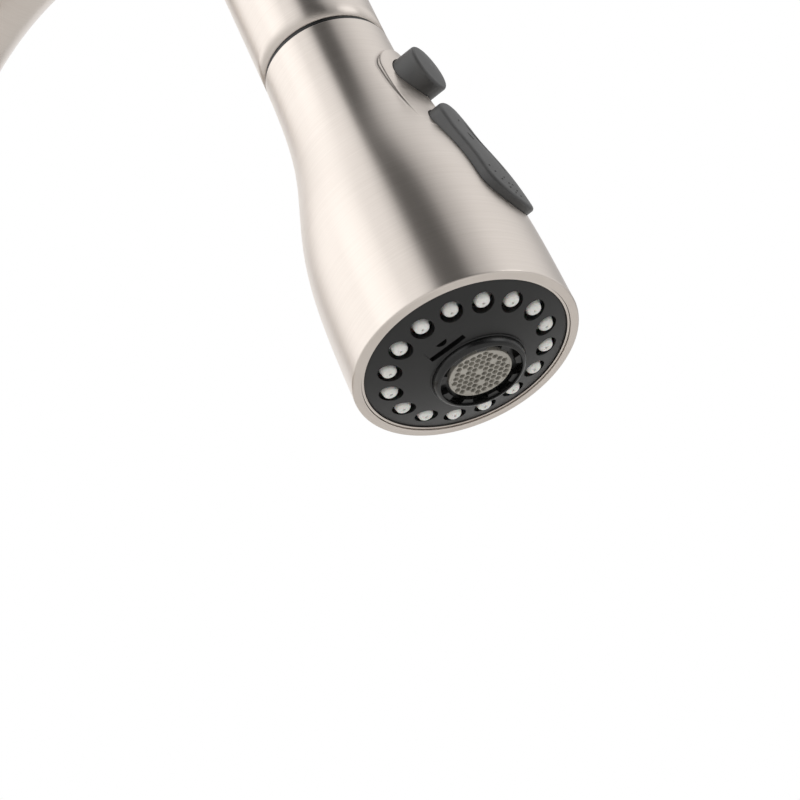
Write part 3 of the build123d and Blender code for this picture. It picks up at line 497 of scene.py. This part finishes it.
def make_land():
    """The raised pad round the button, flatter than the bell, with its small wall and a narrow fillet."""
    steps = ((0.9, -0.2), (0.85, -0.03), (0.55, 0.04), (0.36, 0.13), (0.24, 0.28), (0.17, 0.45), (0.11, 0.74),
             (0.05, 0.9), (-0.04, 0.98), (-0.15, 1.0), (-0.6, 1.0))
    turns = [radians(a) for a in evenly(0, 180, 61)]
    top = [(cos(a), sin(a), LAND_H, LAND_R) for a in turns]
    under = [(cos(a + pi), sin(a + pi) * 0.4, LAND_LOW_H, LAND_LOW_R) for a in turns]
    widening = (LAND_R - LAND_LOW_R) / (LAND_H - LAND_LOW_H)
    side = [(-1, 0, h, LAND_LOW_R + widening * (h - LAND_LOW_H))
            for h in evenly(LAND_H, LAND_LOW_H, 32)[1:-1]]
    back = [(1, 0, h, r) for _, _, h, r in reversed(side)]
    around = top + side + under + back

    def ring(grow, part, share, sink=0.0):
        points = [land_point(x * (r + grow) * part, mid + y * (r + grow) * part, share)
                  for x, y, mid, r in around]
        return [(out - sink, side_at, h) for out, side_at, h in points]

    rings = [ring(0.9, part, 0.0, 1.0) for part in (0.03, 0.25, 0.5, 0.75, 0.9, 1.0)]
    rings += [ring(grow, 1.0, share) for grow, share in steps]
    rings += [ring(0.0, part, 1.0) for part in (0.85, 0.75, 0.62, 0.48, 0.35, 0.2, 0.03)]
    bm = bmesh.new()
    ringed(bm, rings)
    tidy(bm, 0.0001)
    made = piece("button_land", bm, HEAD, "nickel_head", "spray_head", where=round_z)
    cut(made, shell_tools(), HEAD)
    return made


def rocker_point(side_at, h, drop):
    """A point on the rocker's face, or below it by the drop."""
    reach = bell_r(h) + proud_at(h)
    return (sqrt(max(reach ** 2 - side_at ** 2, 1.0)) - drop, side_at, h)


def make_rocker():
    """Saddle-shaped rocker, with rounded edges and small raised marks."""
    outline = rocker_outline(0.0)
    edge = 0.8
    spine_low, spine_high = ROCKER_LOW + ROCKER_LOW_R, ROCKER_TOP - ROCKER_TOP_R

    def ring(inset, drop, share=1.0):
        points = []
        for y, h in outline:
            mid = min(max(h, spine_low), spine_high)
            length = hypot(y, h - mid)
            scale = (length - inset) / length * share
            points.append(rocker_point(y * scale, mid + (h - mid) * scale, drop))
        return points

    def foot():
        return [(sqrt(max((bell_r(h) - ROCKER_DEPTH) ** 2 - y * y, 1.0)), y, h) for y, h in outline]

    rings = [foot()]
    rings += [ring(0, drop) for drop in (2.4, edge)]
    rings += [ring(edge * (1 - cos(radians(a))), edge * (1 - sin(radians(a)))) for a in (18, 36, 54, 72, 90)]
    rings += [ring(edge, 0, share) for share in (0.93, 0.8, 0.65, 0.5, 0.35, 0.2, 0.06)]
    bm = bmesh.new()
    ringed(bm, rings)
    tidy(bm, 0.0001)
    dashes = [(-3.6, 48.8, 0.22, 1.7), (-3.0, 55.5, 0.2, 0.35)]
    dots = [(-6.9, 35.4), (-6.2, 33.4), (-3.9, 32.2), (-5.4, 31.0), (-3.4, 30.4), (-1.8, 30.6), (-4.0, 28.6),
            (-1.4, 28.7), (-2.8, 27.3), (-1.0, 27.0)]
    for y, h, half_y, half_h in dashes + [(y, h, 0.24, 0.3) for y, h in dots]:
        made = bmesh.ops.create_icosphere(bm, subdivisions=2, radius=1.0)["verts"]
        x, _, _ = rocker_point(y, h, 0)
        slope = (rocker_point(y, h + 0.5, 0)[0] - rocker_point(y, h - 0.5, 0)[0])
        for vert in made:
            up = vert.co.z * half_h
            vert.co = (x + vert.co.x * 0.16 + up * slope, y + vert.co.y * half_y, h + up)
    return piece("rocker_pad", bm, HEAD, "black_abs", "rocker", ["rocker"], sharp=60)


def boss_matrix():
    """The aerator's own frame, beside the head's."""
    turn = radians(BOSS_TURN)
    return Matrix.Translation((BOSS_SHIFT * cos(turn), BOSS_SHIFT * sin(turn), 0))


def gather(target, source, matrix):
    """Adds a copy of one closed mesh to another."""
    bmesh.ops.recalc_face_normals(source, faces=source.faces)
    source.transform(matrix)
    held = bpy.data.meshes.new("held")
    source.to_mesh(held)
    source.free()
    target.from_mesh(held)
    bpy.data.meshes.remove(held)


def drum(radius, low, high, steps=96):
    bm = bmesh.new()
    spun(bm, [(0, low), (radius, low), (radius, high), (0, high)], steps=steps)
    tidy(bm)
    return bm


def brick(x0, x1, y0, y1, z0, z1):
    bm = bmesh.new()
    bmesh.ops.create_cube(bm, size=1.0)
    bmesh.ops.scale(bm, vec=(x1 - x0, y1 - y0, z1 - z0), verts=bm.verts)
    bmesh.ops.translate(bm, vec=((x0 + x1) / 2, (y0 + y1) / 2, (z0 + z1) / 2), verts=bm.verts)
    return bm


def make_face():
    """Domed black face plate with its rounded nozzle holes, the seat of the boss and the slot."""
    bm = bmesh.new()
    low = [(r, face_height(r)) for r in evenly(0.0, FACE_R - 0.25, 40)]
    edge = arc(FACE_R - 0.25, FACE_EDGE_H + 0.25, 0.25, -70, 0, 5)
    skirt = [(FACE_R, 7.0), (FACE_R - 1.2, 7.0), (FACE_R - 1.2, FACE_EDGE_H + FACE_WALL)]
    inner = [(r, face_height(r) + FACE_WALL) for r in evenly(FACE_R - 1.4, 0.0, 20)]
    spun(bm, low + edge + skirt + inner, steps=160)
    tidy(bm)
    made = piece("face_disc", bm, HEAD, "black_acetal", "spray_head", ["face_plate"])
    seat = bmesh.new()
    around = boss_matrix()
    seat_r = BOSS_R + SEAT_EDGE
    spun(seat, [(0, SEAT_H), (seat_r - 0.15, SEAT_H), (seat_r, SEAT_H + 0.15), (seat_r, 0.5 - FACE_WALL / 2),
                (0, 0.5 - FACE_WALL / 2)], steps=128)
    tidy(seat)
    seat.transform(around)
    cut(made, seat, HEAD, "UNION")
    tools = bmesh.new()
    surface = face_height(NOZZLE_RING_R)
    slope = -2 * FACE_DOME * NOZZLE_RING_R / FACE_R ** 2
    for i in range(NOZZLE_COUNT):
        place = Matrix.Rotation(radians(NOZZLE_PHASE + i * 360 / NOZZLE_COUNT), 4, "Z") @ Matrix.Translation(
            (NOZZLE_RING_R, 0, 0))
        gather(tools, drum(NOZZLE_HOLE_R, surface - 1, surface + 6, 48), place)
        lip = bmesh.new()
        spun(lip, [(0, 0.45), (NOZZLE_HOLE_R - 0.03, 0.45), (NOZZLE_HOLE_R + 0.06, 0.2),
                   (NOZZLE_HOLE_R + 0.2, 0.06), (NOZZLE_HOLE_R + 0.42, -0.03), (NOZZLE_HOLE_R + 0.9, -0.5),
                   (0, -0.5)], steps=48)
        tidy(lip)
        leaning = Matrix.Rotation(atan2(slope, 1), 4, "Y")
        gather(tools, lip, place @ Matrix.Translation((0, 0, surface)) @ leaning)
    cut(made, tools, HEAD)
    tools = bmesh.new()
    gather(tools, drum(BOSS_R + 0.06, BOSS_END_H, 4, 160), around)
    cut(made, tools, HEAD)
    tilt = atan2(2 * FACE_DOME * (SLOT_R - SLOT_WIDE / 2), FACE_R ** 2)
    spot = Matrix.Rotation(radians(SLOT_TURN), 4, "Z") @ Matrix.Translation((SLOT_R, 0, face_height(SLOT_R)))
    spot @= Matrix.Rotation(-tilt, 4, "Y")
    half = SLOT_LEN / 2
    slit_end = SLIT_WIDE - SLOT_WIDE
    tools = bmesh.new()
    gather(tools, brick(slit_end, 0, -half, half, -3, SLOT_DEEP), spot)
    cut(made, tools, HEAD)
    tools = bmesh.new()
    gather(tools, brick(-SLOT_WIDE, slit_end + 0.02, -half, half, -3, SLIT_DEEP), spot)
    notch = bmesh.new()
    ringed(notch, [[(x, y, z) for x, y in arc(0, 0, THUMB_R, 90, 270, 20)] for z in (-3.0, SLIT_DEEP)])
    gather(tools, notch, spot)
    cut(made, tools, HEAD)
    return made


def make_nozzles():
    """Soft bullet-shaped nozzles, one in every hole, with a small outlet."""
    tip = NOZZLE_TIP_H
    back = 2.4
    profile = [(0.0, back), (2.16, back), (2.16, tip + 3.0), (2.04, tip + 2.1), (1.88, tip + 1.2)]
    profile += [(0.62 + 1.18 * cos(radians(a)), tip + 0.85 - 0.85 * sin(radians(a)))
                for a in (8, 24, 40, 56, 72, 84, 90)]
    profile += [(0.40, tip), (0.34, tip + 0.06), (0.30, tip + 0.9), (0.0, tip + 0.9)]
    bm = bmesh.new()
    for i in range(NOZZLE_COUNT):
        turn = radians(NOZZLE_PHASE + i * 360 / NOZZLE_COUNT)
        before = set(bm.verts)
        spun(bm, profile, steps=40)
        fresh = [v for v in bm.verts if v not in before]
        bmesh.ops.translate(bm, verts=fresh, vec=(NOZZLE_RING_R * cos(turn), NOZZLE_RING_R * sin(turn), 0))
    spun(bm, [(15.9, back), (23.0, back), (23.0, back + 1.4), (15.9, back + 1.4), (15.9, back)], steps=96)
    tidy(bm)
    return piece("nozzles", bm, HEAD, "white_silicone", "spray_head", ["nozzle_pad"],
                 sharp=50)


def make_boss():
    """Rounded black boss round the aerator."""
    bm = bmesh.new()
    inner_r = BOSS_R - BOSS_LIP
    outside = [(BOSS_R, -1.4), (BOSS_R, BOSS_END_H + BOSS_ROUND)]
    outside += [(inner_r + 0.12 + (BOSS_LIP - 0.12) * cos(radians(a)),
                 BOSS_END_H + BOSS_ROUND * (1 - sin(radians(a)))) for a in range(8, 91, 8)]
    inside = [(inner_r + 0.03, BOSS_END_H + 0.04), (inner_r, BOSS_END_H + 0.15), (inner_r, -2.5), (8.3, -2.5),
              (8.3, 6.4), (9.3, 6.4), (9.3, -1.4), (BOSS_R, -1.4)]
    spun(bm, outside + inside, steps=200)
    tidy(bm)
    bm.transform(boss_matrix())
    return piece("aerator_bezel", bm, HEAD, "gloss_acetal", "spray_head", ["aerator_collar"])


def make_honeycomb():
    """The aerator's outlet: hexagonal cells inside a raised rim, with four cells left shut."""
    rim = 0.42
    low, high = SCREEN_LOW, SCREEN_LOW + SCREEN_THICK
    bm = bmesh.new()
    spun(bm, [(0, low + 0.12), (SCREEN_R - rim - 0.05, low + 0.12), (SCREEN_R - rim + 0.05, low),
              (SCREEN_R - 0.1, low), (SCREEN_R, low + 0.1), (SCREEN_R, high), (0, high)], steps=128)
    tidy(bm)
    bm.transform(boss_matrix())
    made = piece("honeycomb", bm, HEAD, "grey_acetal", "spray_head", ["aerator_screen"])
    tools = bmesh.new()
    shut = {(0, 0), (3, -1), (-2, 3), (-1, -2)}
    corner_r = (CELL_PITCH - CELL_WALL) / sqrt(3)
    middle = Vector((0.1, -0.5))
    around = boss_matrix()
    for i in range(-8, 9):
        for j in range(-8, 9):
            spot = Vector((CELL_PITCH * (i + j / 2), CELL_PITCH * j * sqrt(3) / 2))
            spot = Matrix.Rotation(radians(CELL_TURN), 2) @ spot + middle
            if (i, j) in shut or spot.length > SCREEN_R - rim - corner_r * 0.55:
                continue
            cell = bmesh.new()
            corners = [(corner_r * cos(radians(a)), corner_r * sin(radians(a))) for a in range(30, 390, 60)]
            taper = ((low - 1, 1.1), (low + 0.11, 1.1), (low + 0.34, 1.0), (high + 1, 0.86))
            ringed(cell, [[(x * w, y * w, h) for x, y in corners] for h, w in taper])
            turned = Matrix.Rotation(radians(CELL_TURN), 4, "Z")
            gather(tools, cell, around @ Matrix.Translation((spot.x, spot.y, 0)) @ turned)
    cut(made, tools, HEAD)
    return made


# --- spout ------------------------------------------------------------------------------------------
def spout_along(co):
    """Distance along the spout and turn round it, for a point on its wall."""
    x, z = co.x, co.z
    if z <= RISER_TOP and x < ARCH_R:
        return z * MM, atan2(co.y, x) / (2 * pi) % 1.0
    angle = atan2(z - RISER_TOP, ARCH_R - x)
    if angle < 0:
        angle += 2 * pi
    end = radians(ARCH_TURN)
    if angle <= end + 0.02:
        out = ARCH_R - hypot(z - RISER_TOP, ARCH_R - x)
        return (RISER_TOP + ARCH_R * angle) * MM, atan2(co.y, out) / (2 * pi) % 1.0
    down = Vector((sin(end), 0, cos(end)))
    foot = Vector((ARCH_R * (1 - cos(end)), 0, RISER_TOP + ARCH_R * sin(end)))
    step = co - foot
    length = step.dot(down)
    out = step.dot(Vector((-cos(end), 0, sin(end)))) * -1
    return (RISER_TOP + ARCH_R * end + length) * MM, atan2(co.y, out) / (2 * pi) % 1.0


def make_spout():
    """The nickel-plated tube: riser, bend and the straight end that holds the head."""
    bm = bmesh.new()
    end = radians(ARCH_TURN)
    made = bmesh.ops.create_circle(bm, segments=96, radius=TUBE_R)["verts"]
    bmesh.ops.translate(bm, verts=made, vec=(0, 0, RISER_LOW))
    edges = list(bm.edges)

    def onward(edges, step, count):
        for _ in range(count):
            geom = bmesh.ops.extrude_edge_only(bm, edges=edges)["geom"]
            verts = [g for g in geom if isinstance(g, bmesh.types.BMVert)]
            edges = [g for g in geom
                     if isinstance(g, bmesh.types.BMEdge) and all(v in verts for v in g.verts)]
            bmesh.ops.translate(bm, verts=verts, vec=step / count)
        return edges

    edges = onward(edges, Vector((0, 0, RISER_TOP - RISER_LOW)), 12)
    verts = list({v for e in edges for v in e.verts})
    last = bmesh.ops.spin(bm, geom=verts + edges, axis=(0, 1, 0), cent=(ARCH_R, 0, RISER_TOP), angle=end,
                          steps=110, use_merge=False)["geom_last"]
    edges = [g for g in last if isinstance(g, bmesh.types.BMEdge)]
    onward(edges, Vector((sin(end), 0, cos(end))) * TIP_LEN, 8)
    tidy(bm)
    made = piece("spout_neck", bm, ROW, "nickel_spout", "spout", ["spout_tube"], where=spout_along)
    wall = made.modifiers.new("wall", "SOLIDIFY")
    wall.thickness = TUBE_WALL * MM
    wall.offset = -1.0
    return made


def make_drawn_hose():
    """The braided hose that comes out with the head. Its braid has its true size when it is all out."""
    joint = joints["head_pull"]
    pull = joint["range_m"][1] / MM
    low, high = HEAD_LEN + 9.0, HEAD_LEN + 27.0
    bm = bmesh.new()
    count = 72
    spun(bm, [(HOSE_R, h) for h in evenly(low, high, count + 1)], steps=40)
    tidy(bm, 0.00001)
    layer = bm.loops.layers.uv.new("braid")
    for face in bm.faces:
        turns = [atan2(loop.vert.co.y, loop.vert.co.x) / (2 * pi) % 1.0 for loop in face.loops]
        wrap = max(turns) - min(turns) > 0.5
        for loop, turn in zip(face.loops, turns):
            share = (high - loop.vert.co.z) / (high - low)
            out = (high - loop.vert.co.z) + pull * share * share * (3 - 2 * share)
            around = turn + 1 if wrap and turn < 0.5 else turn
            loop[layer].uv = (out, around * 2 * pi * HOSE_R)
    mesh = bpy.data.meshes.new("drawn_hose")
    bm.transform(HEAD)
    bm.to_mesh(mesh)
    bm.free()
    mesh.shade_smooth()
    mesh.materials.append(finishes["braid"])
    made = bpy.data.objects.new("drawn_hose", mesh)
    bpy.context.scene.collection.objects.link(made)
    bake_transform(made)
    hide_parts("hose_draw")
    return made


# --- settings a user would change -------------------------------------------------------------------
class FaucetFinish(bpy.types.PropertyGroup):
    backdrop: FloatProperty(name="Backdrop", description="Brightness of the white background", default=1.0,
                            min=0.0, max=2.0)
    key_power: FloatProperty(name="Key light", description="Power of the soft light on the left", default=0.5,
                             min=0.0, unit="POWER")
    fill_power: FloatProperty(name="Fill light", description="Power of the soft light on the right",
                              default=0.9, min=0.0, unit="POWER")
    floor_colour: FloatVectorProperty(name="Floor", description="Colour of the studio floor", size=3,
                                      subtype="COLOR", default=srgb("#EFEEEC")[:3])
    floor_height: FloatProperty(name="Floor height", description="Height of the studio floor under the deck",
                                default=-0.2, unit="LENGTH", subtype="DISTANCE")


class FAUCET_OT_finishes(bpy.types.Operator):
    """Make the materials and give every CAD node its finish"""
    bl_idname = "faucet.finishes"
    bl_label = "Finishes"

    def execute(self, context):
        make_finishes()
        dress_cad_nodes()
        return {"FINISHED"}


class FAUCET_OT_shell(bpy.types.Operator):
    """Build the spray head's bell and the raised land round its button"""
    bl_idname = "faucet.shell"
    bl_label = "Head shell"

    def execute(self, context):
        make_shell()
        make_land()
        return {"FINISHED"}


class FAUCET_OT_face(bpy.types.Operator):
    """Build the face plate, the nozzles and the aerator's ring"""
    bl_idname = "faucet.face"
    bl_label = "Spray face"

    def execute(self, context):
        make_face()
        make_nozzles()
        make_boss()
        make_honeycomb()
        return {"FINISHED"}


class FAUCET_OT_rocker(bpy.types.Operator):
    """Build the rocker with its marks"""
    bl_idname = "faucet.rocker"
    bl_label = "Rocker"

    def execute(self, context):
        make_rocker()
        return {"FINISHED"}


class FAUCET_OT_spout(bpy.types.Operator):
    """Build the spout's tube and the hose that pulls out of it"""
    bl_idname = "faucet.spout"
    bl_label = "Spout and hose"

    def execute(self, context):
        make_spout()
        make_drawn_hose()
        return {"FINISHED"}


class FAUCET_OT_stage(bpy.types.Operator):
    """Set up the floor, the lights, the white surroundings and the camera"""
    bl_idname = "faucet.stage"
    bl_label = "Studio"

    def execute(self, context):
        settings = context.scene.faucet
        make_floor(settings)
        make_lights(settings)
        make_surroundings(settings)
        make_camera()
        return {"FINISHED"}


# --- studio -----------------------------------------------------------------------------------------
def make_floor(settings):
    bm = bmesh.new()
    bmesh.ops.create_grid(bm, x_segments=1, y_segments=1, size=3.0)
    bmesh.ops.translate(bm, verts=bm.verts, vec=(0, 0, settings.floor_height))
    mesh = bpy.data.meshes.new("studio_floor")
    bm.to_mesh(mesh)
    bm.free()
    finish, tree = new_finish("painted studio floor")
    close_finish(tree, add(tree, "BsdfPrincipled", {
        "Base Color": (*settings.floor_colour, 1), "Roughness": 0.7, "Specular IOR Level": 0.2}))
    mesh.materials.append(finish)
    floor = bpy.data.objects.new("studio_floor", mesh)
    bpy.context.scene.collection.objects.link(floor)


def aim(thing, place, target):
    thing.location = place
    thing.rotation_euler = (Vector(target) - Vector(place)).to_track_quat("-Z", "Y").to_euler()


def make_lights(settings):
    middle = (0.12, 0.0, 0.24)
    for name, place, size, power in (
            ("key_light", (-0.5, -1.0, 0.75), 0.7, settings.key_power),
            ("fill_light", (1.2, 0.1, 0.65), 0.6, settings.fill_power)):
        lamp = bpy.data.lights.new(name, "AREA")
        lamp.shape = "DISK"
        lamp.size = size
        lamp.energy = power
        holder = bpy.data.objects.new(name, lamp)
        bpy.context.scene.collection.objects.link(holder)
        aim(holder, place, middle)


# Brightness of the studio round the head's axis, as (degrees from the button, brightness): two wide
# soft walls of light with an unlit gap between them, behind the camera.
STUDIO_ROUND = (
    (-180, 1.6), (-172, 1.7), (-145, 1.6), (-125, 1.45), (-105, 1.25), (-85, 1.2), (-74, 0.9), (-64.5, 0.12),
    (-38.5, 0.08), (-30, 0.45), (-22, 0.64), (-5, 0.9), (15, 1.0), (35, 1.1), (55, 0.85), (75, 0.45),
    (88, 0.7), (108, 1.15), (135, 1.25), (155, 1.15), (175, 1.55), (180, 1.6))

# How much of that light comes from a direction's rise along the head's axis: less from under the face.
STUDIO_RISE = ((-1.0, 0.4), (-0.5, 0.45), (-0.1, 0.85), (0.15, 1.0), (1.0, 1.0))


def make_surroundings(settings):
    scene = bpy.context.scene
    world = bpy.data.worlds.new("white studio")
    scene.world = world
    world.use_nodes = True
    tree = world.node_tree
    tree.nodes.clear()
    way = add(tree, "TexCoord").outputs["Generated"]
    local = add(tree, "Mapping", {"Vector": way, "Rotation": HEAD.to_euler()}, vector_type="TEXTURE")
    split = add(tree, "SeparateXYZ", {"Vector": local.outputs["Vector"]})
    turn = add(tree, "Math", {0: split.outputs["Y"], 1: split.outputs["X"]}, operation="ARCTAN2").outputs[0]
    share = add(tree, "MapRange", {"Value": turn, "From Min": -pi, "From Max": pi}).outputs["Result"]
    top = max(level for _, level in STUDIO_ROUND)
    glow = ramp(tree, share, *[((a + 180) / 360, (level / top,) * 3 + (1,)) for a, level in STUDIO_ROUND])
    rise = add(tree, "MapRange", {"Value": split.outputs["Z"], "From Min": -1.0, "From Max": 1.0})
    dim = ramp(tree, rise.outputs["Result"],
               *[((z + 1) / 2, (level,) * 3 + (1,)) for z, level in STUDIO_RISE])
    light = add(tree, "VectorMath", {0: glow, 1: dim}, operation="MULTIPLY")
    room = add(tree, "Background", {"Color": light.outputs["Vector"], "Strength": top})
    white = add(tree, "Background", {"Color": (1, 1, 1, 1), "Strength": settings.backdrop})
    seen = add(tree, "LightPath").outputs["Is Camera Ray"]
    both = add(tree, "MixShader", {0: seen, 1: room.outputs[0], 2: white.outputs[0]})
    add(tree, "OutputWorld", {"Surface": both.outputs[0]})
    scene.view_settings.view_transform = "Standard"


# The camera's place from the rim, in millimetres, and the way it looks, both solved from the photograph's
# rim, nozzle ring, seam and outline.
CAMERA_FROM_RIM = Vector((404.3, -502.6, -250.8))
CAMERA_WAY = Vector((-0.6047, 0.7160, 0.3488))


def make_camera():
    """The photograph's camera: below the head, looking up at its face."""
    data = bpy.data.cameras.new("photo_camera")
    data.sensor_width = 36.0
    data.lens = 135.0
    data.clip_start, data.clip_end = 0.01, 20.0
    camera = bpy.data.objects.new("photo_camera", data)
    bpy.context.scene.collection.objects.link(camera)
    place = RIM + CAMERA_FROM_RIM * MM
    aim(camera, place, place + CAMERA_WAY)
    bpy.context.scene.camera = camera


class FAUCET_PT_panel(bpy.types.Panel):
    """Sidebar panel that lists the builders and their settings"""
    bl_label = "Faucet"
    bl_idname = "FAUCET_PT_panel"
    bl_space_type = "VIEW_3D"
    bl_region_type = "UI"
    bl_category = "Faucet"

    def draw(self, context):
        column = self.layout.column()
        for name in FaucetFinish.__annotations__:
            column.prop(context.scene.faucet, name)
        for builder in BUILDERS:
            column.operator(builder.bl_idname)


BUILDERS = (FAUCET_OT_finishes, FAUCET_OT_shell, FAUCET_OT_face, FAUCET_OT_rocker, FAUCET_OT_spout,
            FAUCET_OT_stage)


def register():
    for kind in (FaucetFinish, *BUILDERS, FAUCET_PT_panel):
        bpy.utils.register_class(kind)
    bpy.types.Scene.faucet = PointerProperty(type=FaucetFinish)


def unregister():
    del bpy.types.Scene.faucet
    for kind in (FAUCET_PT_panel, *reversed(BUILDERS), FaucetFinish):
        bpy.utils.unregister_class(kind)


def main():
    register()
    for builder in BUILDERS:
        group, name = builder.bl_idname.split(".")
        getattr(getattr(bpy.ops, group), name)()


if __name__ == "__main__":
    main()
